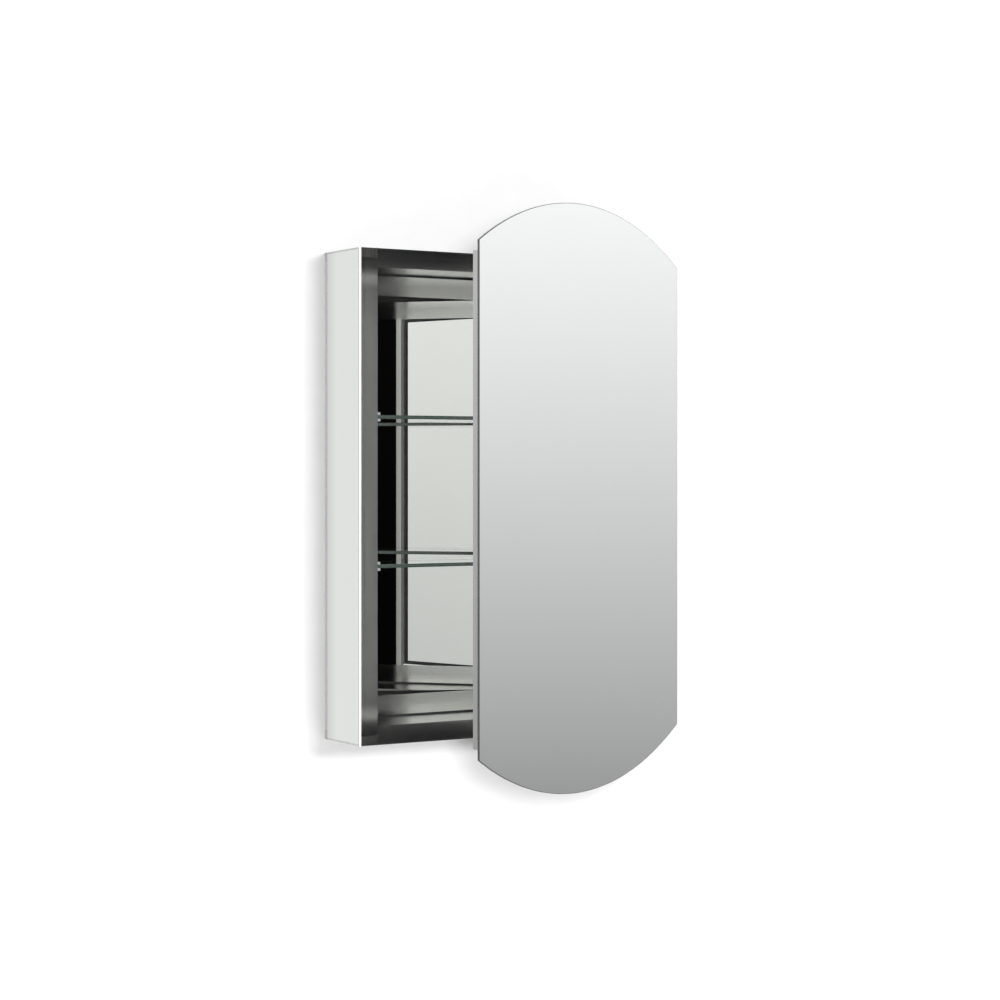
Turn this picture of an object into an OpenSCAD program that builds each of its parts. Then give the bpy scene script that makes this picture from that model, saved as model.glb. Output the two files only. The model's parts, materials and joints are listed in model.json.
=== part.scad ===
// Wall-hung aluminium medicine cabinet. A rectangular extruded case carries a mirrored back, two glass
// shelves and mirrored outer sides. Its door is an arched mirror on a framed, mirror-backed panel that
// swings on a full-length pin hinge. The origin is the middle of the wall face. +Y points into the wall,
// -Y points at the user, +Z is up. Units are millimetres.

/* [Case] */
// Width across the extruded sides, without the side mirrors
case_w = 495; // [400:1:600]
// Height of the case
case_h = 660; // [560:1:760]
// Depth from the wall face to the front flange
case_d = 98; // [90:1:130]
// Width of the front stiles
stile_w = 24.6; // [22:0.2:32]
// Height of the top and bottom rails
rail_h = 25.4; // [22:0.2:32]
// Wall thickness of the extrusions
wall = 1.8; // [1.4:0.1:2.4]
// Height of each corner block at the end of a stile
corner_h = 12.7; // [10:0.1:14]
// How far the rails sit behind the stiles
rail_recess = 1; // [0.5:0.1:2]
// Thickness of the sheet that closes the back
back_t = 1.2; // [0.8:0.1:2]
// Thickness of the mirrors on the back and on the sides
liner_t = 3; // [2:0.5:4]
// Width of the dark seal round the lining of the back
seal_w = 2.5; // [2:0.5:4]
// Height of the mounting rails at the top and bottom of the back
back_rail_h = 27; // [20:0.5:40]
// Thickness of the mounting rails
back_rail_t = 4; // [3.5:0.5:5]

/* [Shelves] */
// Thickness of the glass shelves
shelf_t = 5; // [4:0.5:6]
// Height of the upper shelf's middle above the case centre
shelf_upper_z = 106; // [80:1:140]
// Height of the lower shelf's middle, below the case centre
shelf_lower_z = -93; // [-140:1:-60]
// Gap between the shelf's front edge and the flange plane
shelf_setback = 6; // [4:1:20]

/* [Door] */
// Width of the door mirror
mirror_w = 504; // [500:1:560]
// Height of the straight sides of the door mirror
mirror_side_h = 652; // [640:1:700]
// Rise of the arch at each end of the door mirror
arch_rise = 67.7; // [40:0.1:90]
// Thickness of the door mirror
mirror_t = 3; // [3:0.5:6]
// Width of the frame behind the door mirror
door_w = 482; // [470:1:484]
// Height of the frame behind the door mirror
door_h = 628; // [600:1:640]
// Thickness of the door frame
door_t = 13.5; // [12:0.5:16]
// Thickness of the bond between the frame and the mirror
bond_t = 1; // [0.5:0.1:1.5]
// Gap between the case and the closed door
door_gap = 3; // [2.5:0.1:4]
// Angle at which the door stands open
door_angle = 24.3; // [0:0.1:100]
// How far the door hangs below the middle of the case
door_drop = 2.3; // [0:0.1:4]

/* [Hinge] */
// Outer radius of the hinge knuckles
knuckle_r = 3.6; // [3.2:0.1:3.8]
// Radius of the hinge pin
pin_r = 1.8; // [1.5:0.1:2]
// Radial running clearance round the pin
pin_clear = 0.05; // [0.02:0.01:0.1]
// Thickness of the hinge leaves
leaf_t = 1.2; // [1:0.1:1.4]
// Number of knuckles, shared between the two leaves
knuckles = 24; // [12:2:30]
// Length of the hinge
hinge_len = 600; // [480:10:620]

/* [Wall fixing] */
// Distance between the wall screws across the case
fix_x = 406.4; // [300:0.2:410]
// Radius of each wall-screw hole
fix_r = 3.25; // [2.5:0.25:4]

/* [Hidden] */
$fn = 48;
eps = 0.01;
fit_gap = 0.1;

// Case levels
half_w = case_w / 2;
half_h = case_h / 2;
inner_w = case_w - 2 * stile_w;
inner_h = case_h - 2 * rail_h;
front_y = -case_d;
back_y = -back_t;
rail_y = front_y + rail_recess;
liner_y = back_y - liner_t;
panel_h = case_h - 2 * corner_h;
lining_w = inner_w - 2 * seal_w;
lining_h = inner_h - 2 * seal_w;
fix_z = lining_h - back_rail_h;

// Side extrusion: a front chamber, a web and a rear chamber, with a lip behind the side mirror
web_y = front_y + stile_w;
lip_d = 4;
flute_x = 4;
flute_w = 0.8;
flute_d = 0.5;

// Rail extrusion: two screw ports run its whole length
port_r = 3.4;
port_bore = 2;
port_y = [front_y + 14, front_y + 47];
port_z = half_h - rail_h + wall + port_r;
case_screw_len = 20;
case_screw_head_r = 3.4;
case_screw_head_h = 2;
access_r = 4;
plug_d = 26;
plug_h = 12;
plug_y = -38;

// Back fixings
back_screw_r = 1.6;
back_screw_head_r = 3;
back_screw_rows = 5;
back_screw_end = 30;
back_screw_len = 8;

// Shelf clips: a jaw on each end of the glass and a peg through the inner wall
clip_d = 10;
clip_w = 8;
clip_lip = 3.5;
clip_r = 2.4;
clip_inset = 6;
clip_peg = 6;
shelf_side_gap = 1.5;
shelf_back_gap = 1;

// Door levels, in the closed position
frame_y = front_y - door_gap;
frame_front_y = frame_y - door_t;
glass_y = frame_front_y - bond_t;
flat_w = 11;
bevel_w = 6.5;
bevel_d = 3;
bar_w = flat_w + bevel_w;
gasket_w = 5;
gasket_t = 1.5;
door_liner_y = frame_y - bevel_d - gasket_t;
core_y = door_liner_y - liner_t;
chamber_u = 2;
chamber_w = 7.5;
chamber_v = 2;
chamber_d = door_t - 2 * chamber_v;
key_leg = 34;
bond_w = 14;
panel_w = door_w - 2 * bar_w;
panel_door_h = door_h - 2 * bar_w;
bumper_r = 3.5;
bumper_t = door_gap - 0.1;
bumper_inset_x = 7;
bumper_inset_z = 9;

// Hinge: the pin stands clear of the flange and of the door frame's side
hinge_clear = 0.3;
pin_x = door_w / 2 + knuckle_r + hinge_clear;
pin_y = front_y - knuckle_r - hinge_clear;
knuckle_len = hinge_len / knuckles;
knuckle_gap = 0.3;
case_leaf_w = 19;
door_leaf_front = frame_front_y + 0.5;
hinge_screw_r = 1.6;
hinge_screw_head_r = 2.8;
hinge_screw_rows = 6;
hinge_screw_len = 7;
case_screw_row = 7;
pin_over = 0.6;
pin_head_h = 1.2;
pin_head_lip = 0.9;

// Magnetic catch, behind the left flange and inside the left door bar
magnet_w = 8;
magnet_h = 40;
magnet_t = 5;
magnet_inset = 7;
strike_t = 1.5;

// Turns a closed-door shape to the angle at which the door stands
module swung() {
    translate([pin_x, pin_y, 0]) rotate([0, 0, door_angle]) translate([-pin_x, -pin_y, 0]) children();
}

// The same, and lowers it to the level at which the door hangs
module hung() {
    swung() translate([0, 0, -door_drop]) children();
}

// Outline of the left side extrusion, seen from above
module side_outline() {
    difference() {
        union() {
            translate([-half_w, front_y]) square([stile_w, case_d - back_t]);
            translate([-half_w - liner_t, back_y - lip_d]) square([liner_t + eps, lip_d]);
        }
        translate([-half_w + wall, front_y + wall]) square([stile_w - 2 * wall, stile_w - 2 * wall]);
        translate([-half_w + wall, web_y]) square([stile_w - 2 * wall, back_y - wall - web_y]);
        translate([-half_w + flute_x, front_y - eps]) square([flute_w, flute_d + eps]);
    }
}

// Left side extrusion, with access holes for the assembly screws and holes for the clip pegs
module side_left() {
    difference() {
        translate([0, 0, -panel_h / 2]) linear_extrude(panel_h) side_outline();
        for (y = port_y, side = [-1, 1]) {
            translate([-half_w - eps, y, side * port_z]) rotate([0, 90, 0])
                cylinder(h = wall + 2 * eps, r = access_r);
            translate([-half_w + stile_w - wall - eps, y, side * port_z]) rotate([0, 90, 0])
                cylinder(h = wall + 2 * eps, r = port_bore + fit_gap);
        }
        for (z = [shelf_upper_z, shelf_lower_z], y = clip_rows())
            translate([-half_w + stile_w - wall - eps, y, z]) rotate([0, 90, 0])
                cylinder(h = wall + 2 * eps, r = clip_r + pin_clear);
        for (z = back_screw_heights())
            translate([-half_w + stile_w / 2, back_y - wall - eps, z]) rotate([-90, 0, 0])
                cylinder(h = wall + 2 * eps, r = back_screw_r + pin_clear);
    }
}

module side_panel_left() {
    color("gainsboro") side_left();
}

// The right side also takes the hinge screws
module side_panel_right() {
    color("gainsboro") difference() {
        mirror([1, 0, 0]) side_left();
        for (z = hinge_rows())
            translate([case_screw_x(), front_y - eps, z]) rotate([-90, 0, 0])
                cylinder(h = wall + 2 * eps, r = hinge_screw_r + pin_clear);
    }
}

function clip_rows() = [front_y + shelf_setback + clip_inset, back_y - liner_t - clip_inset];
// Evenly spaced heights, whose first and last lie at the given distance from the ends of a length
function spaced(count, length, end) = [for (i = [0 : count - 1])
    -length / 2 + end + i * (length - 2 * end) / (count - 1)];
function back_screw_heights() = spaced(back_screw_rows, panel_h, back_screw_end);
function hinge_rows() = spaced(hinge_screw_rows, hinge_len, 1.5 * knuckle_len);
function case_screw_x() = pin_x - knuckle_r - case_screw_row;

// Rail extrusion in its upper place, seen from the side: a hollow box with a small lip at its front edge
module rail_outline() {
    lip_h = 1.6;
    difference() {
        union() {
            translate([rail_y, half_h - rail_h]) square([back_y - rail_y, rail_h]);
            translate([front_y, half_h - lip_h]) square([rail_recess + eps, lip_h]);
        }
        difference() {
            translate([rail_y + wall, half_h - rail_h + wall])
                square([back_y - rail_y - 2 * wall, rail_h - 2 * wall]);
            for (y = port_y) translate([y, port_z]) {
                circle(r = port_r);
                translate([-port_r, -port_r - wall]) square([2 * port_r, port_r + wall]);
            }
        }
        for (y = port_y) translate([y, port_z]) circle(r = port_bore);
    }
}

module rail() {
    rotate([90, 0, 90]) translate([0, 0, -inner_w / 2]) linear_extrude(inner_w) rail_outline();
}

module top_panel() {
    color("silver") rail();
}

module bottom_panel() {
    color("silver") mirror([0, 0, 1]) rail();
}

// Corner block that closes the end of a side extrusion and plugs into its rear chamber
module corner_block() {
    translate([-half_w, front_y, half_h - corner_h]) cube([stile_w, case_d - back_t, corner_h]);
    translate([-half_w - liner_t, back_y - lip_d, half_h - corner_h]) cube([liner_t + eps, lip_d, corner_h]);
    translate([-half_w + wall + fit_gap, plug_y, half_h - corner_h - plug_h])
        cube([stile_w - 2 * wall - 2 * fit_gap, plug_d, plug_h + eps]);
}

module corner_block_top_left() {
    color("darkgray") corner_block();
}

module corner_block_top_right() {
    color("darkgray") mirror([1, 0, 0]) corner_block();
}

module corner_block_bottom_left() {
    color("darkgray") mirror([0, 0, 1]) corner_block();
}

module corner_block_bottom_right() {
    color("darkgray") mirror([1, 0, 0]) mirror([0, 0, 1]) corner_block();
}

// Back sheet, with the four empty wall-screw holes
module back_panel() {
    color("lightgray") difference() {
        translate([-half_w - liner_t, back_y, -half_h]) cube([case_w + 2 * liner_t, back_t, case_h]);
        wall_screw_places() cylinder(h = back_t + 2 * eps, r = fix_r);
        back_screw_places() cylinder(h = back_t + 2 * eps, r1 = back_screw_head_r - back_t + eps,
            r2 = back_screw_head_r + eps);
    }
}

module wall_screw_places() {
    for (x = [-1, 1], z = [-1, 1])
        translate([x * fix_x / 2, back_y - eps, z * fix_z / 2]) rotate([-90, 0, 0]) children();
}

// Mounting rail in its upper place. The wall screws pass through it and clamp it to the wall.
module mounting_rail() {
    difference() {
        translate([-lining_w / 2, back_y - back_rail_t, lining_h / 2 - back_rail_h])
            cube([lining_w, back_rail_t, back_rail_h]);
        translate([0, -back_rail_t, 0]) wall_screw_places() cylinder(h = back_rail_t + 2 * eps, r = fix_r);
    }
}

module back_rail_top() {
    color("silver") mounting_rail();
}

module back_rail_bottom() {
    color("silver") mirror([0, 0, 1]) mounting_rail();
}

module back_screw_places() {
    for (x = [-1, 1], z = back_screw_heights())
        translate([x * (half_w - stile_w / 2), back_y - eps, z]) rotate([-90, 0, 0]) children();
}

// Countersunk screws that hold the back sheet to the side extrusions
module back_screws() {
    color("dimgray") back_screw_places() {
        translate([0, 0, eps]) cylinder(h = back_t, r1 = back_screw_head_r - back_t, r2 = back_screw_head_r);
        translate([0, 0, -back_screw_len]) cylinder(h = back_screw_len + 2 * eps, r = back_screw_r);
    }
}

// Mirror that lines the inside of the back, between the mounting rails
module back_mirror() {
    mirror_h = lining_h - 2 * back_rail_h;
    color("aliceblue") translate([-lining_w / 2, liner_y, -mirror_h / 2]) cube([lining_w, liner_t, mirror_h]);
}

module back_mirror_seal() {
    color("black") difference() {
        translate([-inner_w / 2, liner_y + 0.5, -inner_h / 2]) cube([inner_w, liner_t - 0.5, inner_h]);
        translate([-lining_w / 2, liner_y, -lining_h / 2]) cube([lining_w, liner_t + eps, lining_h]);
    }
}

module side_mirror() {
    translate([-half_w - liner_t, front_y, -half_h]) cube([liner_t, case_d - back_t - lip_d, case_h]);
}

module side_mirror_left() {
    color("aliceblue") side_mirror();
}

module side_mirror_right() {
    color("aliceblue") mirror([1, 0, 0]) side_mirror();
}

// Assembly screws, from inside each side extrusion into the screw ports of the rails
module case_screws() {
    color("dimgray") for (x = [0, 1], y = port_y, side = [-1, 1]) mirror([x, 0, 0])
        translate([-inner_w / 2 - wall, y, side * port_z]) rotate([0, 90, 0]) {
            translate([0, 0, -case_screw_head_h]) cylinder(h = case_screw_head_h, r = case_screw_head_r);
            cylinder(h = case_screw_len, r = port_bore - pin_clear);
        }
}

// One glass shelf at height z
module shelf(z) {
    shelf_y = front_y + shelf_setback;
    translate([-inner_w / 2 + shelf_side_gap, shelf_y, z - shelf_t / 2])
        cube([inner_w - 2 * shelf_side_gap, liner_y - shelf_back_gap - shelf_y, shelf_t]);
}

module shelf_upper() {
    color("lightcyan") shelf(shelf_upper_z);
}

module shelf_lower() {
    color("lightcyan") shelf(shelf_lower_z);
}

// One clip at the left end of a shelf: a jaw round the glass and a peg through the wall
module clip() {
    jaw_h = shelf_t + 2 * clip_lip;
    difference() {
        translate([-inner_w / 2, -clip_d / 2, -jaw_h / 2]) cube([clip_w, clip_d, jaw_h]);
        translate([-inner_w / 2 + shelf_side_gap, -clip_d / 2 - eps, -shelf_t / 2])
            cube([clip_w, clip_d + 2 * eps, shelf_t]);
    }
    translate([-inner_w / 2 - clip_peg, 0, 0]) rotate([0, 90, 0]) cylinder(h = clip_peg + eps, r = clip_r);
}

module shelf_clips(z) {
    for (x = [0, 1], y = clip_rows()) mirror([x, 0, 0]) translate([0, y, z]) clip();
}

module shelf_clips_upper() {
    color("white") shelf_clips(shelf_upper_z);
}

module shelf_clips_lower() {
    color("white") shelf_clips(shelf_lower_z);
}

// Magnet of the catch, behind the left flange
module catch_magnet() {
    color("dimgray") translate([-half_w + magnet_inset, front_y + wall, -magnet_h / 2])
        cube([magnet_w, magnet_t, magnet_h]);
}

// Steel strike inside the left bar of the door frame
module catch_strike() {
    color("silver") swung()
        translate([-door_w / 2 + chamber_u, frame_y - chamber_v - strike_t, -magnet_h / 2])
            cube([chamber_w, strike_t, magnet_h]);
}

// Every second knuckle of the hinge, starting from the given one
module knuckle_row(first) {
    for (i = [first : 2 : knuckles - 1])
        translate([pin_x, pin_y, -hinge_len / 2 + i * knuckle_len + knuckle_gap / 2])
            cylinder(h = knuckle_len - knuckle_gap, r = knuckle_r);
}

module knuckle_bore() {
    translate([pin_x, pin_y, -hinge_len / 2 - 1]) cylinder(h = hinge_len + 2, r = pin_r + pin_clear);
}

// Room for the other leaf's knuckles
module knuckle_room(first) {
    for (i = [first : 2 : knuckles - 1])
        translate([pin_x, pin_y, -hinge_len / 2 + i * knuckle_len - knuckle_gap / 2])
            cylinder(h = knuckle_len + knuckle_gap, r = knuckle_r + 0.5);
}

// Countersunk hinge screw along +Z, its head's face at z = 0
module hinge_screw(grow) {
    cylinder(h = leaf_t, r1 = hinge_screw_head_r + grow, r2 = hinge_screw_r + grow);
    cylinder(h = hinge_screw_len, r = hinge_screw_r + grow);
}

module hinge_case_screw_places() {
    for (z = hinge_rows()) translate([case_screw_x(), front_y - leaf_t, z]) rotate([-90, 0, 0]) children();
}

module hinge_door_screw_places() {
    leaf_middle = (frame_front_y + pin_y - knuckle_r) / 2;
    for (z = hinge_rows())
        translate([door_w / 2 + leaf_t, leaf_middle, z]) rotate([0, -90, 0]) children();
}

// Leaf on the right flange, with the even knuckles
module hinge_case_leaf() {
    color("gray") difference() {
        union() {
            knuckle_row(0);
            difference() {
                translate([pin_x - case_leaf_w, front_y - leaf_t, -hinge_len / 2])
                    cube([case_leaf_w, leaf_t, hinge_len]);
                knuckle_room(1);
                for (i = [1 : 2 : knuckles - 1])
                    translate([pin_x - knuckle_r - 0.5, front_y - leaf_t - eps,
                        -hinge_len / 2 + i * knuckle_len - knuckle_gap / 2])
                        cube([knuckle_r + 1, leaf_t + 2 * eps, knuckle_len + knuckle_gap]);
            }
        }
        knuckle_bore();
        hinge_case_screw_places() translate([0, 0, -eps]) hinge_screw(pin_clear);
    }
}

// Leaf on the side of the door frame, with the odd knuckles
module hinge_door_leaf() {
    leaf_d = pin_y - door_leaf_front;
    color("gray") swung() difference() {
        union() {
            knuckle_row(1);
            difference() {
                translate([door_w / 2, door_leaf_front, -hinge_len / 2]) cube([leaf_t, leaf_d, hinge_len]);
                knuckle_room(0);
                for (i = [0 : 2 : knuckles - 1])
                    translate([door_w / 2 - eps, pin_y - knuckle_r - 0.5,
                        -hinge_len / 2 + i * knuckle_len - knuckle_gap / 2])
                        cube([leaf_t + 2 * eps, knuckle_r + 1, knuckle_len + knuckle_gap]);
            }
        }
        knuckle_bore();
        hinge_door_screw_places() translate([0, 0, -eps]) hinge_screw(pin_clear);
    }
}

module hinge_pin() {
    color("silver") {
        translate([pin_x, pin_y, -hinge_len / 2 - pin_over])
            cylinder(h = hinge_len + 2 * pin_over, r = pin_r);
        for (side = [0, 1]) mirror([0, 0, side])
            translate([pin_x, pin_y, hinge_len / 2 + pin_over / 2])
                cylinder(h = pin_head_h, r = pin_r + pin_head_lip);
    }
}

module hinge_case_screws() {
    color("dimgray") hinge_case_screw_places() hinge_screw(0);
}

module hinge_door_screws() {
    color("dimgray") swung() hinge_door_screw_places() hinge_screw(0);
}

// Outline of the door mirror: straight sides between two arcs
module mirror_outline() {
    arch_r = (pow(mirror_w / 2, 2) + pow(arch_rise, 2)) / (2 * arch_rise);
    intersection() {
        translate([-mirror_w / 2, -mirror_side_h]) square([mirror_w, 2 * mirror_side_h]);
        translate([0, mirror_side_h / 2 + arch_rise - arch_r]) circle(r = arch_r, $fn = 360);
        translate([0, -mirror_side_h / 2 - arch_rise + arch_r]) circle(r = arch_r, $fn = 360);
    }
}

module door_mirror() {
    color("aliceblue") hung() translate([0, glass_y, 0]) rotate([90, 0, 0]) linear_extrude(mirror_t)
        mirror_outline();
}

// Ring of bonding tape between the frame and the mirror
module door_mirror_bond() {
    color("black") hung() translate([0, frame_front_y, 0]) rotate([90, 0, 0]) linear_extrude(bond_t)
        difference() {
            square([door_w - 2, door_h - 2], center = true);
            square([door_w - 2 * bond_w, door_h - 2 * bond_w], center = true);
        }
}

// Section of a door bar: u runs inwards from the outer edge, v from the back towards the mirror
module bar_outline() {
    difference() {
        polygon([[0, 0], [flat_w, 0], [bar_w, bevel_d], [bar_w, door_t], [0, door_t]]);
        translate([chamber_u, chamber_v]) square([chamber_w, chamber_d]);
    }
}

// Bar along +Z at the left of a frame, mitred at both ends
module mitred_bar(length) {
    mitre = 2 * bar_w;
    difference() {
        translate([0, 0, -length / 2]) linear_extrude(length) mirror([0, 1, 0]) bar_outline();
        for (side = [0, 1]) mirror([0, 0, side])
            translate([0, -door_t - 1, length / 2]) rotate([0, 45, 0])
                translate([-1, 0, 0]) cube([2 * mitre, door_t + 2, mitre]);
    }
}

module left_bar() {
    translate([-door_w / 2, frame_y, 0]) mitred_bar(door_h);
}

module top_bar() {
    translate([0, frame_y, door_h / 2]) rotate([0, 90, 0]) mitred_bar(door_w);
}

module door_frame_left() {
    color("silver") hung() left_bar();
}

// The right bar takes the hinge screws in its side
module door_frame_right() {
    color("silver") hung() difference() {
        mirror([1, 0, 0]) left_bar();
        translate([0, 0, door_drop]) hinge_door_screw_places()
            cylinder(h = leaf_t + chamber_u + eps, r = hinge_screw_r + pin_clear);
    }
}

module door_frame_top() {
    color("silver") hung() top_bar();
}

module door_frame_bottom() {
    color("silver") hung() mirror([0, 0, 1]) top_bar();
}

// Corner keys that join the bars inside their chambers
module door_corner_keys() {
    key_w = chamber_w - 2 * fit_gap;
    key_d = chamber_d - 2 * fit_gap;
    color("dimgray") hung() for (x = [0, 1], z = [0, 1]) mirror([x, 0, 0]) mirror([0, 0, z])
        translate([-door_w / 2 + chamber_u + fit_gap, frame_y - chamber_v - fit_gap - key_d,
            door_h / 2 - chamber_u - fit_gap - key_w]) {
            cube([key_leg, key_d, key_w]);
            translate([0, 0, key_w - key_leg]) cube([key_w, key_d, key_leg]);
        }
}

// Rigid board that fills the frame behind the mirror
module door_core() {
    color("tan") hung() translate([-panel_w / 2 + 0.2, glass_y, -panel_door_h / 2 + 0.2])
        cube([panel_w - 0.4, core_y - glass_y, panel_door_h - 0.4]);
}

module door_back_mirror() {
    color("aliceblue") hung() translate([-panel_w / 2 + 0.2, core_y, -panel_door_h / 2 + 0.2])
        cube([panel_w - 0.4, liner_t, panel_door_h - 0.4]);
}

module door_back_gasket() {
    color("black") hung() translate([0, door_liner_y + gasket_t, 0]) rotate([90, 0, 0])
        linear_extrude(gasket_t) difference() {
            square([panel_w, panel_door_h], center = true);
            square([panel_w - 2 * gasket_w, panel_door_h - 2 * gasket_w], center = true);
        }
}

// Clear bumpers on the free side of the door
module door_bumpers() {
    color("white") hung() for (side = [-1, 1])
        translate([-door_w / 2 + bumper_inset_x, frame_y, side * (door_h / 2 - bumper_inset_z)])
            rotate([-90, 0, 0]) cylinder(h = bumper_t, r1 = bumper_r, r2 = bumper_r - 1);
}

side_panel_left();
side_panel_right();
top_panel();
bottom_panel();
corner_block_top_left();
corner_block_top_right();
corner_block_bottom_left();
corner_block_bottom_right();
back_panel();
back_rail_top();
back_rail_bottom();
back_mirror();
back_mirror_seal();
side_mirror_left();
side_mirror_right();
case_screws();
back_screws();
shelf_upper();
shelf_lower();
shelf_clips_upper();
shelf_clips_lower();
catch_magnet();
hinge_case_leaf();
hinge_pin();
hinge_case_screws();
door_mirror();
door_mirror_bond();
door_frame_left();
door_frame_right();
door_frame_top();
door_frame_bottom();
door_corner_keys();
door_core();
door_back_mirror();
door_back_gasket();
door_bumpers();
catch_strike();
hinge_door_leaf();
hinge_door_screws();
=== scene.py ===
"""A wall-hung medicine cabinet with an arched mirror door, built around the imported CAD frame.

Units are metres. +Y points into the wall, the door faces -Y, +Z is up, and the origin is the middle of the
case's rear face.
"""
import json
import math

import bmesh
import bpy
from mathutils import Matrix, Vector


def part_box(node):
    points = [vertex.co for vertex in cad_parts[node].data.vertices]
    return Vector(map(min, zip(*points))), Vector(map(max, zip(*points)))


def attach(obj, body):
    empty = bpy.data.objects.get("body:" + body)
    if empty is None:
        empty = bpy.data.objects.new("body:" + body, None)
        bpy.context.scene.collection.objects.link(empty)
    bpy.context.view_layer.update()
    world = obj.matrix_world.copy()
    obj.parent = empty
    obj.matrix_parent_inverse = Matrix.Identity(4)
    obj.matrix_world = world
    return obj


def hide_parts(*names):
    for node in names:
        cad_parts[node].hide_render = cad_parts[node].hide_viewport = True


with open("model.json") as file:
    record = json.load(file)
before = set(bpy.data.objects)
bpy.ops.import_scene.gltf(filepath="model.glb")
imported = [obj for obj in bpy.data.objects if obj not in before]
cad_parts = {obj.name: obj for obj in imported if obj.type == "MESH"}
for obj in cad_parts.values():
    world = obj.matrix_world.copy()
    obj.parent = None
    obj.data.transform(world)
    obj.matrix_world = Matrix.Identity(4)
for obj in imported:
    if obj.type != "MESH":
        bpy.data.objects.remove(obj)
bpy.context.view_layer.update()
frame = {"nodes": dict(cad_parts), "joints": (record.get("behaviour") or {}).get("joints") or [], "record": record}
NODES = frame["nodes"]
BODIES = frame["record"]["behaviour"]["bodies"]
JOINT = frame["joints"][0]
MM = 0.001

# Camera: level, at the photograph's height and angle
CAMERA_PLACE = (-1.6998, -2.7721, 0.0365)
CAMERA_YAW = math.radians(31.962)
CAMERA_LENS = 82.71
CAMERA_SENSOR = 36.0
CAMERA_SHIFT_Y = -0.03094

# Angle at which the door stands at rest, from the joint's own range
DOOR_ANGLE = -math.radians(JOINT["range_deg"][0])
PIVOT = Vector(JOINT["pos_m"])


def swung(point):
    """A point given for the closed door, moved to where the door stands at rest."""
    x, y = point[0] - PIVOT.x, point[1] - PIVOT.y
    c, s = math.cos(DOOR_ANGLE), math.sin(DOOR_ANGLE)
    return Vector((PIVOT.x + x * c - y * s, PIVOT.y + x * s + y * c, point[2]))


# ---------------------------------------------------------------- node helpers


# Roughness of every noise pattern, and the middle part of its range that the looks are spread over
NOISE_ROUGHNESS = 0.55
NOISE_LOW = 0.3
NOISE_HIGH = 0.7


class Nodes:
    """A node tree under construction: makes nodes and joins their sockets."""

    def __init__(self, tree):
        self.tree = tree
        tree.nodes.clear()

    def node(self, kind, **settings):
        made = self.tree.nodes.new(kind)
        for key, value in settings.items():
            setattr(made, key, value)
        return made

    def put(self, socket, value):
        """Joins a socket to another socket, or gives it a value."""
        if isinstance(value, bpy.types.NodeSocket):
            self.tree.links.new(value, socket)
        elif isinstance(value, (tuple, list)) and socket.type == "RGBA" and len(value) == 3:
            socket.default_value = (*value, 1.0)
        else:
            socket.default_value = value

    def math(self, operation, *values):
        made = self.node("ShaderNodeMath", operation=operation)
        for socket, value in zip(made.inputs, values):
            self.put(socket, value)
        return made.outputs[0]

    def spread(self, value, low, high, start=NOISE_LOW, end=NOISE_HIGH, shape="LINEAR"):
        """Maps a value from start..end to low..high, and no further."""
        made = self.node("ShaderNodeMapRange", interpolation_type=shape)
        self.put(made.inputs["Value"], value)
        made.inputs["From Min"].default_value = start
        made.inputs["From Max"].default_value = end
        made.inputs["To Min"].default_value = low
        made.inputs["To Max"].default_value = high
        return made.outputs["Result"]


class Shader(Nodes):
    """A material under construction."""

    def __init__(self, name):
        self.material = bpy.data.materials.new(name)
        self.material.use_nodes = True
        super().__init__(self.material.node_tree)
        self.output = self.node("ShaderNodeOutputMaterial")

    def coords(self, scale):
        """Object coordinates, multiplied by three scales or by one."""
        place = self.node("ShaderNodeTexCoord")
        mapping = self.node("ShaderNodeMapping")
        self.put(mapping.inputs["Vector"], place.outputs["Object"])
        mapping.inputs["Scale"].default_value = scale if isinstance(scale, tuple) else (scale,) * 3
        return mapping.outputs["Vector"]

    def noise(self, scale, detail):
        """Noise with this many grains a metre: three numbers for the three axes, or one for all."""
        made = self.node("ShaderNodeTexNoise")
        self.put(made.inputs["Vector"], self.coords(scale))
        made.inputs["Scale"].default_value = 1.0
        made.inputs["Detail"].default_value = detail
        made.inputs["Roughness"].default_value = NOISE_ROUGHNESS
        return made.outputs["Fac"]

    def mix(self, factor, first, second):
        """Blends two colours."""
        made = self.node("ShaderNodeMix", data_type="RGBA")
        self.put(made.inputs[0], factor)
        self.put(made.inputs[6], first)
        self.put(made.inputs[7], second)
        return made.outputs[2]

    def bump(self, height, depth, strength):
        """Surface relief of the given depth in metres."""
        made = self.node("ShaderNodeBump")
        made.inputs["Strength"].default_value = strength
        made.inputs["Distance"].default_value = depth
        self.put(made.inputs["Height"], height)
        return made.outputs["Normal"]

    def mix_shaders(self, factor, first, second):
        made = self.node("ShaderNodeMixShader")
        for socket, value in zip(made.inputs, (factor, first, second)):
            self.put(socket, value)
        return made.outputs[0]

    def surface(self, **values):
        """The finished material: a principled shader, with its sockets named in snake case."""
        made = self.node("ShaderNodeBsdfPrincipled")
        for key, value in values.items():
            self.put(made.inputs[key.replace("_", " ").title().replace("Ior", "IOR")], value)
        self.put(self.output.inputs["Surface"], made.outputs[0])
        return self.material


# ---------------------------------------------------------------- materials


# Keeps the brushing's direction defined on faces square to the grain
GRAIN_LEAN = Vector((0.001, 0.002, 0.001))
# Marks of the brushing in a metre, along the grain and across it
FINE_ALONG, FINE_ACROSS = 6.0, 900.0
BROAD_ALONG, BROAD_ACROSS = 0.8, 9.0


def dimmed(colour, share):
    """The colour at this share of its brightness."""
    return tuple(c * share for c in colour)


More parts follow.
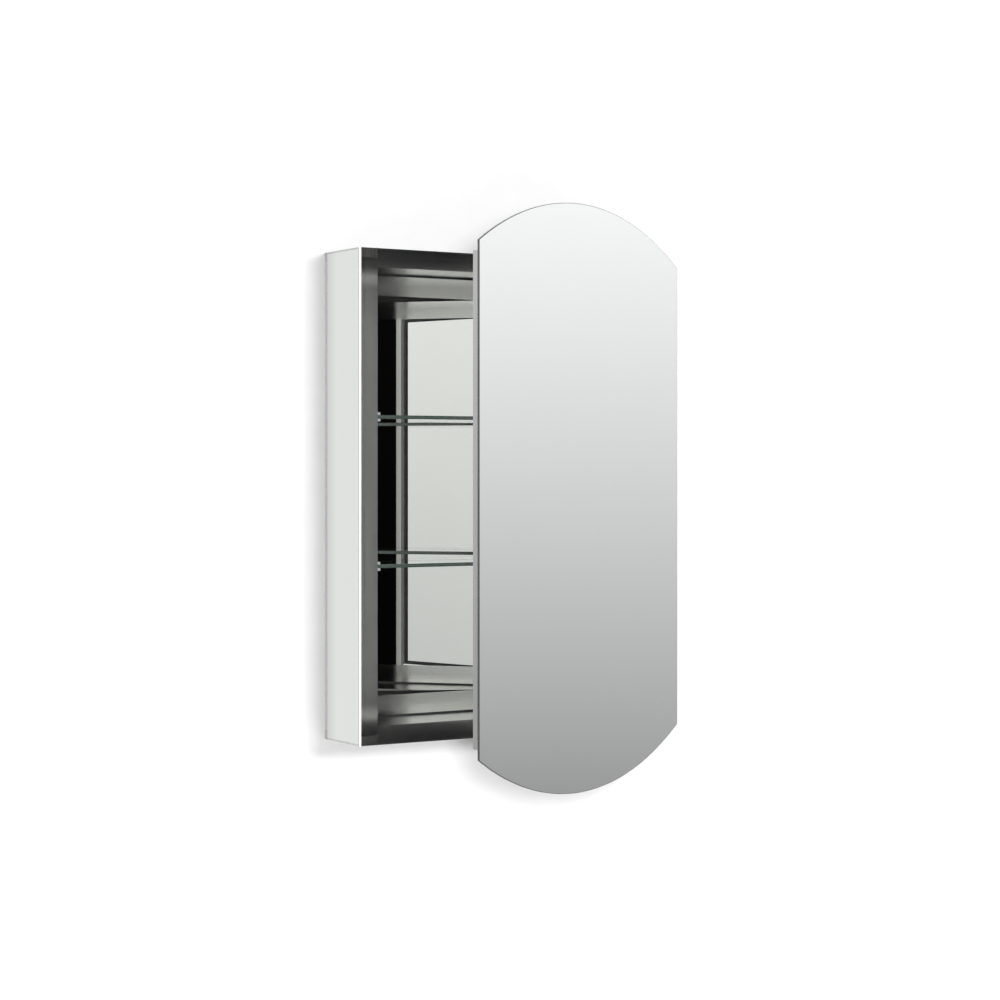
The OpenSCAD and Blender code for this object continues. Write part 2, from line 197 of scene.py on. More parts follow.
def brushed(name, colour, grain, rough=0.12, anisotropy=1.0):
    """Satin anodised metal, finely brushed along the grain direction, which is given in object axes."""
    m = Shader(name)
    fine = m.noise(tuple(FINE_ALONG if g else FINE_ACROSS for g in grain), 2.0)
    broad = m.noise(tuple(BROAD_ALONG if g else BROAD_ACROSS for g in grain), 2.0)
    tone = m.mix(m.spread(fine, 0.0, 1.0), dimmed(colour, 0.95), colour)
    tone = m.mix(m.spread(broad, 0.0, 0.5), tone, dimmed(colour, 0.93))
    roughness = m.spread(fine, rough * 0.9, rough * 1.1)
    cross = m.node("ShaderNodeVectorMath", operation="CROSS_PRODUCT")
    place = m.node("ShaderNodeTexCoord")
    m.put(cross.inputs[0], place.outputs["Normal"])
    cross.inputs[1].default_value = Vector(grain) + GRAIN_LEAN
    turn = m.node("ShaderNodeVectorTransform", vector_type="VECTOR")
    turn.convert_from = "OBJECT"
    turn.convert_to = "WORLD"
    m.put(turn.inputs[0], cross.outputs[0])
    return m.surface(base_color=tone, metallic=1.0, roughness=roughness, anisotropic=anisotropy,
                     tangent=turn.outputs[0], normal=m.bump(fine, 0.000003, 0.3))


def silvered(name, tint):
    """The face of a silvered glass mirror, with a faint haze of wiping marks."""
    m = Shader(name)
    haze = m.noise(9.0, 3.0)
    tone = m.mix(m.spread(haze, 0.0, 1.0), tint, dimmed(tint, 0.992))
    return m.surface(base_color=tone, metallic=1.0, roughness=m.spread(haze, 0.0, 0.004),
                     normal=m.bump(haze, 0.000001, 0.1))


def glass_edge(name, colour):
    """The ground and polished edge of float glass."""
    m = Shader(name)
    marks = m.noise(300.0, 2.0)
    tone = m.mix(m.spread(marks, 0.0, 1.0), colour, dimmed(colour, 0.75))
    return m.surface(base_color=tone, metallic=0.0, roughness=m.spread(marks, 0.084, 0.18),
                     normal=m.bump(marks, 0.00001, 0.2), coat_weight=0.6, coat_roughness=0.08, ior=1.52)


def clear_glass(name, tint):
    """Clear float glass, faintly green."""
    m = Shader(name)
    smudge = m.noise(22.0, 3.0)
    tone = m.mix(m.spread(smudge, 0.0, 1.0), tint, dimmed(tint, 0.985))
    return m.surface(base_color=tone, roughness=m.spread(smudge, 0.0, 0.015),
                     normal=m.bump(smudge, 0.000001, 0.1),
                     transmission_weight=1.0, ior=1.45)


def moulded(name, colour, rough, grain=260.0, coat=0.0, transmission=0.0, gloss=0.5):
    """A moulded plastic or rubber with a fine grain."""
    m = Shader(name)
    texture = m.noise(grain, 4.0)
    blotch = m.noise(12.0, 2.0)
    tone = m.mix(m.spread(blotch, 0.0, 1.0), colour, dimmed(colour, 0.82))
    return m.surface(base_color=tone, roughness=m.spread(texture, rough * 0.85, min(1.0, rough * 1.15)),
                     normal=m.bump(texture, 0.00004, 0.3), coat_weight=coat,
                     transmission_weight=transmission, specular_ior_level=gloss)


def plated(name, colour, rough):
    """Plated or plain steel with fine marks."""
    m = Shader(name)
    marks = m.noise(240.0, 4.0)
    stain = m.noise(30.0, 3.0)
    tone = m.mix(m.spread(stain, 0.0, 1.0), colour, dimmed(colour, 0.8))
    return m.surface(base_color=tone, metallic=1.0, roughness=m.spread(marks, rough * 0.7, rough * 1.3),
                     normal=m.bump(marks, 0.00002, 0.2))


def galvanised(name):
    """Zinc-coated sheet with its spangle."""
    m = Shader(name)
    cells = m.node("ShaderNodeTexVoronoi", feature="F1")
    m.put(cells.inputs["Vector"], m.coords(1.0))
    cells.inputs["Scale"].default_value = 95.0
    chance = m.node("ShaderNodeSeparateColor")
    m.put(chance.inputs[0], cells.outputs["Color"])
    grain = m.noise(90.0, 3.0)
    return m.surface(base_color=m.mix(chance.outputs[0], (0.56, 0.58, 0.59), (0.70, 0.71, 0.72)),
                     metallic=1.0, roughness=m.spread(chance.outputs[1], 0.34, 0.5, 0.0, 1.0),
                     normal=m.bump(grain, 0.00003, 0.3))


def fibre_board(name):
    """Brown board of fine wood fibre."""
    m = Shader(name)
    fibre = m.noise((160.0, 160.0, 420.0), 5.0)
    return m.surface(base_color=m.mix(m.spread(fibre, 0.0, 1.0), (0.42, 0.30, 0.18), (0.55, 0.42, 0.27)),
                     roughness=0.85, normal=m.bump(fibre, 0.0001, 0.4))


UP = (0.0, 0.0, 1.0)
ACROSS = (1.0, 0.0, 0.0)
DOOR_ACROSS = (math.cos(DOOR_ANGLE), math.sin(DOOR_ANGLE), 0.0)
ALUMINIUM = (0.84, 0.84, 0.82)

MATERIALS = {
    "stile": brushed("stile_aluminium", (0.74, 0.74, 0.72), UP, rough=0.2, anisotropy=0.75),
    "rail": brushed("rail_aluminium", ALUMINIUM, ACROSS),
    "block": brushed("block_aluminium", (0.60, 0.60, 0.59), UP, rough=0.3, anisotropy=0.4),
    "door_upright": brushed("door_upright_aluminium", (0.50, 0.50, 0.49), UP, rough=0.25, anisotropy=0.6),
    # painted shade: the uprights' bevel is their own brushed aluminium at about half the brightness
    "door_bevel": brushed("door_bevel_shaded_aluminium", (0.24, 0.24, 0.235), UP, rough=0.25, anisotropy=0.6),
    "door_cross": brushed("door_cross_aluminium", ALUMINIUM, DOOR_ACROSS),
    "back_sheet": galvanised("galvanised_sheet"),
    "liner": silvered("liner_silver", (0.912, 0.92, 0.908)),
    # painted shade: the side mirrors' silvering is darker than the door's, so the wall they show comes out dimmer
    "side": silvered("side_silver_shaded", (0.80, 0.82, 0.79)),
    "door": silvered("door_silver", (0.93, 0.94, 0.94)),
    "edge_dark": glass_edge("mirror_edge_dark", (0.03, 0.033, 0.033)),
    "edge_grey": glass_edge("mirror_edge_grey", (0.40, 0.42, 0.40)),
    "edge_light": glass_edge("mirror_edge_light", (0.90, 0.93, 0.91)),
    "paint": moulded("mirror_back_paint", (0.02, 0.021, 0.022), 0.6, gloss=0.12),
    "seal": moulded("black_seal", (0.02, 0.02, 0.02), 0.6),
    "bond": moulded("black_foam_tape", (0.03, 0.03, 0.03), 0.9, grain=700.0),
    "screw": plated("zinc_plate", (0.62, 0.62, 0.60), 0.3),
    "hinge": plated("satin_stainless", (0.62, 0.62, 0.61), 0.28),
    "pin": plated("drawn_stainless", (0.70, 0.70, 0.69), 0.18),
    "strike": plated("plain_steel", (0.45, 0.45, 0.45), 0.4),
    "magnet": moulded("ferrite", (0.05, 0.05, 0.055), 0.7),
    "key": plated("cast_key", (0.55, 0.55, 0.54), 0.5),
    "core": fibre_board("fine_fibre_board"),
    "clip": moulded("clear_clip", (0.28, 0.29, 0.285), 0.12, coat=0.3, transmission=0.3),
    "bumper": moulded("clear_bumper", (0.92, 0.92, 0.90), 0.2, transmission=0.3),
    "glass": clear_glass("shelf_glass", (0.93, 0.97, 0.95)),
    "glass_edge": glass_edge("shelf_edge", (0.036, 0.048, 0.041)),
}


# Edges sharper than this get a bevel
BEVEL_ANGLE = math.radians(40)


def dress(node, material, bevel=0.0, edge=None, segments=2):
    """Gives a CAD node its material, and fine rounded edges of the same or of another material."""
    o = NODES[node]
    o.data.materials.clear()
    o.data.materials.append(MATERIALS[material])
    if edge:
        o.data.materials.append(MATERIALS[edge])
    if bevel:
        mod = o.modifiers.new("fine_edges", "BEVEL")
        mod.width = bevel
        mod.segments = segments
        mod.limit_method = "ANGLE"
        mod.angle_limit = BEVEL_ANGLE
        mod.harden_normals = True
        mod.material = 1 if edge else -1


# ---------------------------------------------------------------- carried-over CAD nodes

for name in ("side_panel_left", "side_panel_right"):
    dress(name, "stile", 0.0006, segments=3)
for name in ("top_panel", "bottom_panel"):
    dress(name, "rail", 0.0003)
for name in ("back_rail_top", "back_rail_bottom"):
    dress(name, "rail", 0.002, segments=4)
for name in ("corner_block_top_left", "corner_block_top_right", "corner_block_bottom_left",
             "corner_block_bottom_right"):
    dress(name, "block", 0.0003)
for name in ("back_mirror", "door_back_mirror"):
    dress(name, "liner", 0.0005, "edge_dark", 1)
for name in ("shelf_clips_upper", "shelf_clips_lower"):
    dress(name, "clip", 0.0008, segments=3)
for name in ("hinge_case_leaf", "hinge_door_leaf"):
    dress(name, "hinge", 0.0002)
for name, look in {
    "back_panel": "back_sheet", "back_mirror_seal": "seal", "case_screws": "screw",
    "catch_magnet": "magnet", "hinge_pin": "pin", "door_mirror_bond": "bond",
    "door_corner_keys": "key", "door_core": "core", "door_back_gasket": "seal",
    "catch_strike": "strike",
}.items():
    dress(name, look)


# ---------------------------------------------------------------- pieces made here


# What shades the wall from each lamp: the pieces of one body
SHADES = {body: bpy.data.collections.new(f"{body}_shade") for body in BODIES}
for body, members in BODIES.items():
    for node in members:
        SHADES[body].objects.link(NODES[node])


def piece(name, mesh, materials, node):
    """A finished mesh that stands for a CAD node, riding on the same body."""
    for material in materials:
        mesh.materials.append(MATERIALS[material])
    made = bpy.data.objects.new(name, mesh)
    bpy.context.scene.collection.objects.link(made)
    slot, body = next((part["material_slot"], group) for part in frame["record"]["subparts"]
                      for group, members in BODIES.items()
                      if part["node"] == node and node in members)
    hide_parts(node)
    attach(made, body)
    SHADES[body].objects.link(made)


# Keeps the point of a very sharp corner from running far inwards
MITRE_LIMIT = 0.2


def inset(outline, distance):
    """A convex outline moved inwards by a distance. The outline runs anticlockwise."""
    moved = []
    for i, here in enumerate(outline):
        before = (here - outline[i - 1]).normalized()
        after = (outline[(i + 1) % len(outline)] - here).normalized()
        inwards = Vector((-before.y - after.y, before.x + after.x)).normalized()
        reach = distance / max(MITRE_LIMIT, inwards.dot(Vector((-before.y, before.x))))
        moved.append(here + inwards * reach)
    return moved


def finished(name, made, sharp=30.0):
    """Turns a bmesh into a mesh, smooth except at edges that turn by more than this many degrees."""
    bmesh.ops.recalc_face_normals(made, faces=made.faces)
    mesh = bpy.data.meshes.new(name)
    made.to_mesh(mesh)
    made.free()
    for polygon in mesh.polygons:
        polygon.use_smooth = True
    mesh.set_sharp_from_angle(angle=math.radians(sharp))
    return mesh


def pane(name, outline, thick, arris, seat, border=0.0):
    """A sheet of glass with arrissed edges. Its outline lies in u, v and its thickness runs along w from 0.
    seat(u, v, w) places a point. The face at w = 0 gets slot 0, the edges slot 1, and the face at
    w = thick slot 2. With a border, that much of the face at w = 0 and its arris get slot 3."""
    levels = [(arris, 0.0), (0.0, arris), (0.0, thick - arris), (arris, thick)]
    slots = [1, 1, 1]
    if border:
        levels.insert(0, (arris + border, 0.0))
        slots = [3, 3, 1, 1]
    made = bmesh.new()
    rings = []
    for pull, w in levels:
        ring = inset(outline, pull) if pull else outline
        rings.append([made.verts.new(seat(p.x, p.y, w)) for p in ring])
    made.faces.new(rings[0]).material_index = 0
    made.faces.new(rings[-1]).material_index = 2
    count = len(outline)
    for slot, low, high in zip(slots, rings, rings[1:]):
        for i in range(count):
            j = (i + 1) % count
            made.faces.new((low[i], low[j], high[j], high[i])).material_index = slot
    return finished(name, made)


def rectangle(u0, v0, u1, v1):
    return [Vector(p) for p in ((u0, v0), (u1, v0), (u1, v1), (u0, v1))]


ARC_STEPS = 56


def arched_outline(half_w, half_side, rise):
    """Two straight sides between two arcs, anticlockwise from the foot of the right side."""
    radius = (half_w ** 2 + rise ** 2) / (2 * rise)
    reach = math.asin(half_w / radius)
    centre = half_side + rise - radius
    upper = []
    for i in range(ARC_STEPS + 1):
        angle = reach * (1 - 2 * i / ARC_STEPS)
        upper.append(Vector((radius * math.sin(angle), centre + radius * math.cos(angle))))
    return upper + [Vector((-p.x, -p.y)) for p in upper]


def closed_box(node):
    """Lowest and highest corner of a door node, with the door turned to where it is closed."""
    c, s = math.cos(DOOR_ANGLE), math.sin(DOOR_ANGLE)
    points = []
    for vertex in NODES[node].data.vertices:
        x, y = vertex.co.x - PIVOT.x, vertex.co.y - PIVOT.y
        points.append((PIVOT.x + x * c + y * s, PIVOT.y - x * s + y * c, vertex.co.z))
    return tuple(Vector(pick(values) for values in zip(*points)) for pick in (min, max))


DOOR_ARRIS = 0.3 * MM
DOOR_BORDER = 0.4 * MM
SIDE_ARRIS = 0.4 * MM
SIDE_BORDER = 2 * MM
SHELF_ARRIS = 0.5 * MM
SAME_PLACE = 0.1 * MM


def build_door_mirror():
    """The arched front mirror, read off the CAD node: its box, and the height of its straight sides."""
    low, high = closed_box("door_mirror")
    middle = (low + high) / 2
    half_w = (high.x - low.x) / 2
    half_high = (high.z - low.z) / 2
    corner = swung((low.x, low.y, 0.0))
    half_side = max(abs(v.co.z - middle.z) for v in NODES["door_mirror"].data.vertices
                    if math.hypot(v.co.x - corner.x, v.co.y - corner.y) < SAME_PLACE)
    outline = arched_outline(half_w, half_side, half_high - half_side)
    mesh = pane("door_mirror_glass", outline, high.y - low.y, DOOR_ARRIS,
                lambda u, v, w: swung((middle.x + u, low.y + w, middle.z + v)), DOOR_BORDER)
    piece("door_mirror_glass", mesh, ("door", "edge_dark", "paint", "edge_dark"), "door_mirror")


def build_side_mirrors():
    for side, sign in (("left", 1), ("right", -1)):
        low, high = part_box(f"side_mirror_{side}")
        outer = low[0] if side == "left" else high[0]
        mesh = pane(f"side_mirror_{side}_glass", rectangle(low[1], low[2], high[1], high[2]),
                    high[0] - low[0], SIDE_ARRIS,
                    lambda u, v, w: Vector((outer + sign * w, u, v)), SIDE_BORDER)
        piece(f"side_mirror_{side}_glass", mesh, ("side", "edge_light", "paint", "edge_grey"),
              f"side_mirror_{side}")


def build_shelves():
    for level in ("upper", "lower"):
        low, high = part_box(f"shelf_{level}")
        mesh = pane(f"shelf_{level}_glass", rectangle(low[0], low[1], high[0], high[1]),
                    high[2] - low[2], SHELF_ARRIS, lambda u, v, w: Vector((u, v, low[2] + w)))
        piece(f"shelf_{level}_glass", mesh, ("glass", "glass_edge", "glass"), f"shelf_{level}")


def turned(profile, segments=32):
    """A solid of revolution about Z. The profile's (radius, height) points run from axis to axis."""
    made = bmesh.new()
    rings = []
    for radius, height in profile:
        if radius == 0.0:
            rings.append([made.verts.new((0.0, 0.0, height))])
            continue
        turns = [2 * math.pi * i / segments for i in range(segments)]
        rings.append([made.verts.new((radius * math.cos(t), radius * math.sin(t), height)) for t in turns])
    for one, two in zip(rings, rings[1:]):
        for i in range(segments):
            j = (i + 1) % segments
            corners = [one[i % len(one)], one[j % len(one)], two[j % len(two)], two[i % len(two)]]
            made.faces.new(list(dict.fromkeys(corners)))
    return finished("turned", made)


def scatter(name, source, places, material, node):
    """A piece of many copies of one mesh, one at each place. A place is a 4x4 matrix."""
    made = bmesh.new()
    for place in places:
        before = set(made.verts)
        made.from_mesh(source)
        bmesh.ops.transform(made, matrix=place, verts=[v for v in made.verts if v not in before])
    piece(name, finished(name, made), (material,), node)


# All screws share the height of their head and the radius of their shank
SCREW_HEAD_H = 1.2 * MM
SCREW_SHANK_R = 1.6 * MM
SCREW_RIM = 0.12 * MM
SCREW_SEGMENTS = 28
# The tip's radius as a share of the shank's
SCREW_TIP = 0.4
# The recess: its length and width as shares of the head's radius, its depth as a share of the head's height
RECESS_LENGTH = 1.24
RECESS_WIDTH = 0.3
RECESS_DEPTH = 0.75


def screw(head_r, length):
    """A countersunk screw with a cross recess, its head's face at z = 0 and its shank along -Z."""
    mesh = turned([(0.0, 0.0), (head_r - SCREW_RIM, 0.0), (head_r, -SCREW_RIM),
                   (SCREW_SHANK_R, -SCREW_HEAD_H), (SCREW_SHANK_R, SCREW_SHANK_R - length),
                   (SCREW_SHANK_R * SCREW_TIP, -length), (0.0, -length)], SCREW_SEGMENTS)
    cutter = bmesh.new()
    slot, wide, high = RECESS_LENGTH * head_r, RECESS_WIDTH * head_r, 2 * RECESS_DEPTH * SCREW_HEAD_H
    for size in (Vector((wide, slot, high)), Vector((slot, wide, high))):
        bmesh.ops.create_cube(cutter, size=1.0, matrix=Matrix.Diagonal(size).to_4x4())
    tool_mesh = bpy.data.meshes.new("recess")
    cutter.to_mesh(tool_mesh)
    cutter.free()
    tool = bpy.data.objects.new("recess", tool_mesh)
    blank = bpy.data.objects.new("blank", mesh)
    for made in (tool, blank):
        bpy.context.scene.collection.objects.link(made)
    cut = blank.modifiers.new("recess", "BOOLEAN")
    cut.object = tool
    cut.operation = "DIFFERENCE"
    cut.solver = "EXACT"
    cut.use_self = True
    graph = bpy.context.evaluated_depsgraph_get()
    cut_mesh = bpy.data.meshes.new_from_object(blank.evaluated_get(graph))
    for made in (tool, blank):
        bpy.data.objects.remove(made)
    return cut_mesh


def spaced(low, high, count):
    return [low + (high - low) * i / (count - 1) for i in range(count)]


# Screws down each leaf of the hinge and each side of the back sheet
HINGE_SCREWS = 6
BACK_SCREWS = 5
BACK_SCREW_HEAD_R = 3.0 * MM
# Turns that point +Z towards the wall, towards the front and towards the right
TOWARDS_WALL = Matrix.Rotation(math.radians(-90), 4, "X")
TOWARDS_FRONT = Matrix.Rotation(math.radians(90), 4, "X")
TOWARDS_RIGHT = Matrix.Rotation(math.radians(90), 4, "Y")
DOOR_TURN = Matrix.Translation(PIVOT) @ Matrix.Rotation(DOOR_ANGLE, 4, "Z") @ Matrix.Translation(-PIVOT)


def build_screws():
    """The screws of the back sheet, of the hinge's case leaf and of its door leaf."""
    low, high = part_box("back_screws")
    head = BACK_SCREW_HEAD_R
    places = [Matrix.Translation((x, high[1], z)) @ TOWARDS_WALL
              for x in (low[0] + head, high[0] - head)
              for z in spaced(low[2] + head, high[2] - head, BACK_SCREWS)]
    scatter("back_sheet_screws", screw(head, high[1] - low[1]), places, "screw", "back_screws")

    low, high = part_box("hinge_case_screws")
    head = (high[0] - low[0]) / 2
    small = screw(head, high[1] - low[1])
    places = [Matrix.Translation((low[0] + head, low[1], z)) @ TOWARDS_FRONT
              for z in spaced(low[2] + head, high[2] - head, HINGE_SCREWS)]
    scatter("case_leaf_screws", small, places, "screw", "hinge_case_screws")

    low, high = closed_box("hinge_door_screws")
    places = [DOOR_TURN @ Matrix.Translation((high.x, low.y + head, z)) @ TOWARDS_RIGHT
              for z in spaced(low.z + head, high.z - head, HINGE_SCREWS)]
    scatter("door_leaf_screws", small, places, "screw", "hinge_door_screws")


# The straight foot of a bumper as a share of its height, and the steps of its dome
BUMPER_FOOT = 0.25
DOME_STEPS = 8


def build_bumpers():
    """Two domes at the door's free edge."""
    low, high = closed_box("door_bumpers")
    radius, tall = (high.x - low.x) / 2, high.y - low.y
    foot = BUMPER_FOOT * tall
    turns = [math.pi / 2 * i / DOME_STEPS for i in range(1, DOME_STEPS)]
    dome = [(radius * math.cos(t), foot + (tall - foot) * math.sin(t)) for t in turns]
    mesh = turned([(0.0, 0.0), (radius, 0.0), (radius, foot), *dome, (0.0, tall)])
    places = [DOOR_TURN @ Matrix.Translation(((low.x + high.x) / 2, low.y, z)) @ TOWARDS_WALL
              for z in (low.z + radius, high.z - radius)]
    scatter("door_bumper_domes", mesh, places, "bumper", "door_bumpers")


# A bar's flat, the width and fall of its bevel, the rounding of its outer edge and the easing of the bevel
BAR_FLAT = 11 * MM
BAR_BEVEL = Vector((6.5 * MM, 3 * MM))
BAR_ROUND = 0.6 * MM
BAR_EASE = 0.5 * MM
BAR_ROUND_STEPS = 5
# Edges of a bar that turn by more than this many degrees stay sharp
BAR_SHARP = 25.0


def bar_section(deep):
    """Section of a door bar: u inwards from the outer edge, v from the back towards the mirror. Its outer
    edge is rounded, and the bevel down to the back mirror has eased edges."""
    width = BAR_FLAT + BAR_BEVEL.x
    fall = BAR_BEVEL.y / BAR_BEVEL.x
    turns = [math.pi / 2 * i / BAR_ROUND_STEPS for i in reversed(range(BAR_ROUND_STEPS + 1))]
    section = [(BAR_ROUND * (1 - math.sin(t)), BAR_ROUND * (1 - math.cos(t))) for t in turns]
    section += [(BAR_FLAT - BAR_EASE, 0.0), (BAR_FLAT, BAR_EASE * fall / 4),
                (BAR_FLAT + BAR_EASE, BAR_EASE * fall),
                (width - BAR_EASE, BAR_BEVEL.y - BAR_EASE * fall), (width, BAR_BEVEL.y + BAR_EASE)]
    return section + [(width, deep), (0.0, deep)]


def build_door_bars():
    """Four mitred bars round the door's back, each lofted between its two mitre planes."""
    low, high = closed_box("door_frame_left")
    foot, head = closed_box("door_frame_top")
    middle = Vector(((foot.x + head.x) / 2, 0.0, (low.z + high.z) / 2))
    half_w, half_h = (head.x - foot.x) / 2, (high.z - low.z) / 2
    section = bar_section(high.y - low.y)
    across, up = Vector((1.0, 0.0, 0.0)), Vector((0.0, 0.0, 1.0))
    # the uprights' bevels take the darker copy of their aluminium, a painted shade
    upright, cross = ("door_upright", "door_bevel"), ("door_cross", "door_cross")
    for side, out, reach, along, half, looks in (
            ("left", -across, half_w, up, half_h, upright), ("right", across, half_w, up, half_h, upright),
            ("top", up, half_h, across, half_w, cross), ("bottom", -up, half_h, across, half_w, cross)):
        made = bmesh.new()
        ends = [[made.verts.new(swung(middle + out * (reach - u) + along * end * (half - u)
                                      + Vector((0.0, high.y - v, 0.0)))) for u, v in section]
                for end in (-1, 1)]
        made.faces.new(ends[0])
        made.faces.new(ends[1])
        for i in range(len(section)):
            j = (i + 1) % len(section)
            face = made.faces.new((ends[0][i], ends[0][j], ends[1][j], ends[1][i]))
            face.material_index = int(BAR_FLAT < section[i][0] and BAR_FLAT < section[j][0])
        name = f"door_bar_{side}"
        piece(name, finished(name, made, BAR_SHARP), looks, f"door_frame_{side}")


build_door_mirror()
build_side_mirrors()
build_shelves()
build_screws()
build_bumpers()
build_door_bars()


# ---------------------------------------------------------------- studio


def stage_plane(name, corners, material):
    """A flat face of the room, which isn't a piece of the cabinet."""
    mesh = bpy.data.meshes.new(name)
    mesh.from_pydata(corners, [], [tuple(range(len(corners)))])
    mesh.materials.append(material)
    made = bpy.data.objects.new(name, mesh)
    bpy.context.scene.collection.objects.link(made)


WALL_HALF = 3.2
WALL_TOP = 2.0
WALL_Y = 0.0005
FLOOR_Z = -1.25
FLOOR_HALF = 5.0

# The wall's two tones near the cabinet, its lighter tone far from it (painted light for the lamps' falloff), and
# the distances between which it changes
PAINT_NEAR = ((0.475, 0.475, 0.475), (0.485, 0.485, 0.485))
PAINTED_LIGHT_FAR = (0.75, 0.75, 0.75)
PAINTED_LIGHT_FADE = (0.6, 2.2)
FLOOR_PALE = ((0.80, 0.80, 0.80), (0.84, 0.84, 0.84))
# the floor's painted shade, seen in the cabinet's mirrors only
FLOOR_DARK = (0.05, 0.05, 0.05)
# The floor's own light, for the camera only
FLOOR_LIFT = 0.6

# Strength of the room's light for the camera and for matt surfaces
ROOM_SEEN = 0.9
ROOM_MATT = 0.375


def wall_paint():
    """Matt paint, lighter far from the cabinet as painted light that makes up for the lamps' falloff, so that the
    whole wall comes out near white. In mirrors the wall glows instead, as a painted reflection of the lit wall:
    brighter with height far to the left, evenly next to the case's left side, and less from there to the right, as
    painted shade from the case. From behind it is clear, so that the cabinet's back can be looked at."""
    m = Shader("wall_paint")
    place = m.node("ShaderNodeTexCoord")
    reach = m.node("ShaderNodeVectorMath", operation="LENGTH")
    m.put(reach.inputs[0], place.outputs["Object"])
    tone = m.mix(m.spread(m.noise(30.0, 3.0), 0.0, 1.0), *PAINT_NEAR)
    paint = m.node("ShaderNodeBsdfDiffuse")
    # painted light: the paint turns lighter with distance from the cabinet, where the lamps light the wall less
    distance = m.spread(reach.outputs["Value"], 0.0, 1.0, *PAINTED_LIGHT_FADE)
    m.put(paint.inputs["Color"], m.mix(distance, tone, PAINTED_LIGHT_FAR))

    axes = m.node("ShaderNodeSeparateXYZ")
    m.put(axes.inputs[0], place.outputs["Object"])
    x, _, z = axes.outputs
    # painted reflection of the lit wall: the glow far to the left, brighter with height, the glow from next to the
    # case to the right, dimmer from the case's side rightwards as painted shade, and the share of the second
    away = m.spread(z, 0.76, 1.10, -0.4, 0.4)
    beside = m.spread(x, 0.92, 0.70, -0.268, -0.250)
    share = m.spread(x, 0.0, 1.0, -0.42, -0.36)
    # painted light: the wall glows for glossy rays, though it is no lamp
    glow = m.node("ShaderNodeEmission")
    m.put(glow.inputs["Strength"], m.math("ADD", m.math("MULTIPLY", away, m.math("SUBTRACT", 1.0, share)),
                                          m.math("MULTIPLY", beside, share)))

    path = m.node("ShaderNodeLightPath")
    side = m.node("ShaderNodeNewGeometry")
    clear = m.node("ShaderNodeBsdfTransparent")
    front = m.mix_shaders(path.outputs["Is Glossy Ray"], paint.outputs[0], glow.outputs[0])
    both = m.mix_shaders(side.outputs["Backfacing"], front, clear.outputs[0])
    m.put(m.output.inputs["Surface"], both)
    return m.material


def floor_paint():
    """Pale matt paint, lifted towards white for the camera, and painted dark for glossy rays: a painted shade in
    the cabinet's mirrors.
    """
    m = Shader("floor_paint")
    pale = m.mix(m.spread(m.noise(8.0, 3.0), 0.0, 1.0), *FLOOR_PALE)
    path = m.node("ShaderNodeLightPath")
    lift = m.math("MULTIPLY", path.outputs["Is Camera Ray"], FLOOR_LIFT)
    return m.surface(base_color=m.mix(path.outputs["Is Glossy Ray"], pale, FLOOR_DARK), roughness=0.8,
                     emission_color=pale, emission_strength=lift)


stage_plane("wall", [(-WALL_HALF, WALL_Y, FLOOR_Z), (WALL_HALF, WALL_Y, FLOOR_Z),
                     (WALL_HALF, WALL_Y, WALL_TOP), (-WALL_HALF, WALL_Y, WALL_TOP)], wall_paint())
stage_plane("floor", [(-WALL_HALF, -FLOOR_HALF, FLOOR_Z), (WALL_HALF, -FLOOR_HALF, FLOOR_Z),
                      (WALL_HALF, FLOOR_HALF, FLOOR_Z), (-WALL_HALF, FLOOR_HALF, FLOOR_Z)], floor_paint())


def area_light(name, place, size, power, body):
    """A soft box aimed at the origin. Mirrors don't show it, and only one body's pieces shade it."""
    data = bpy.data.lights.new(name, "AREA")
    data.shape = "RECTANGLE"
    data.size, data.size_y = size
    data.energy = power
    lamp = bpy.data.objects.new(name, data)
    lamp.location = place
    lamp.rotation_euler = (-Vector(place)).to_track_quat("-Z", "Y").to_euler()
    lamp.visible_glossy = False
    lamp.visible_camera = False
    lamp.light_linking.blocker_collection = SHADES[body]
    bpy.context.scene.collection.objects.link(lamp)


area_light("key", place=(0.7, -4.0, 0.72), size=(1.4, 0.7), power=166.0, body="cabinet")
area_light("fill", place=(-1.67, -3.08, 0.22), size=(0.4, 0.36), power=115.0, body="door")


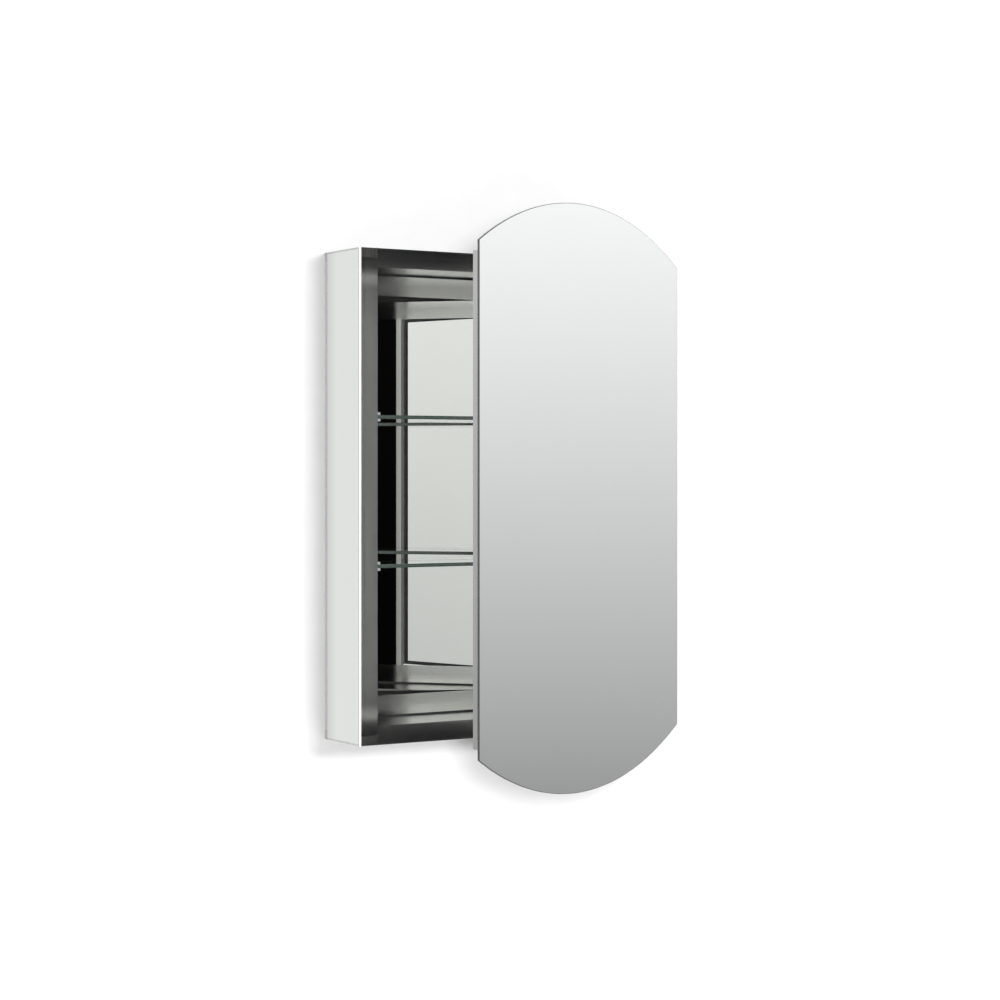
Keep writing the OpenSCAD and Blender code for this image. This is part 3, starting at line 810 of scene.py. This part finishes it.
def studio_world():
    """The room round the cabinet: pale to look at, an even glow for matt surfaces, and for the mirrors a
    bright right side that fades downwards, and a dark front. The front's left part is bright again, but in
    single reflections only."""
    world = bpy.data.worlds.new("studio")
    bpy.context.scene.world = world
    world.use_nodes = True
    world.cycles.sampling_method = "NONE"
    n = Nodes(world.node_tree)

    # the direction looked in, as a unit vector
    coord = n.node("ShaderNodeTexCoord")
    axes = n.node("ShaderNodeSeparateXYZ")
    n.put(axes.inputs[0], coord.outputs["Generated"])
    x, y, z = axes.outputs
    # grows with height between two limits
    height = n.math("MULTIPLY_ADD", z, 2.54, 0.70)
    height = n.math("MINIMUM", n.math("MAXIMUM", height, 0.16), 1.02)
    # bright on the right and a little on the far left, and dark towards the front
    behind = n.spread(y, 0.05, 1.0, -0.80, -0.35, "SMOOTHSTEP")
    right = n.spread(x, 0.06, 1.0, -0.2, 0.45, "SMOOTHSTEP")
    left = n.spread(x, 0.5, 0.0, -0.85, -0.5, "SMOOTHSTEP")
    field = n.math("MULTIPLY", behind, n.math("ADD", right, left))
    # the left half, in single reflections only, where it is at least this bright
    path = n.node("ShaderNodeLightPath")
    once = n.math("LESS_THAN", path.outputs["Glossy Depth"], 1.5)
    single = n.math("MULTIPLY", n.spread(x, 0.8, 0.0, 0.0, 0.25, "SMOOTHSTEP"), once)
    glow = n.math("MULTIPLY", height, n.math("MAXIMUM", field, single))

    level = n.node("ShaderNodeMix", data_type="FLOAT")
    n.put(level.inputs[0], path.outputs["Is Glossy Ray"])
    level.inputs[2].default_value = ROOM_MATT
    n.put(level.inputs[3], glow)
    seen = n.node("ShaderNodeMix", data_type="FLOAT")
    n.put(seen.inputs[0], path.outputs["Is Camera Ray"])
    n.put(seen.inputs[2], level.outputs[0])
    seen.inputs[3].default_value = ROOM_SEEN
    shade = n.node("ShaderNodeBackground")
    shade.inputs["Color"].default_value = (1.0, 1.0, 1.0, 1.0)
    n.put(shade.inputs["Strength"], seen.outputs[0])
    out = n.node("ShaderNodeOutputWorld")
    n.put(out.inputs["Surface"], shade.outputs[0])


studio_world()

camera_data = bpy.data.cameras.new("camera")
camera_data.lens = CAMERA_LENS
camera_data.sensor_width = CAMERA_SENSOR
camera_data.shift_y = CAMERA_SHIFT_Y
camera = bpy.data.objects.new("camera", camera_data)
camera.location = CAMERA_PLACE
camera.rotation_euler = (math.pi / 2, 0.0, -CAMERA_YAW)
bpy.context.scene.collection.objects.link(camera)
bpy.context.scene.camera = camera

scene = bpy.context.scene
scene.view_settings.view_transform = "Standard"
scene.cycles.max_bounces = 24
scene.cycles.glossy_bounces = 20
scene.cycles.transmission_bounces = 16
scene.cycles.transparent_max_bounces = 16
scene.cycles.diffuse_bounces = 4
scene.cycles.caustics_reflective = False
scene.cycles.sample_clamp_indirect = 4.0
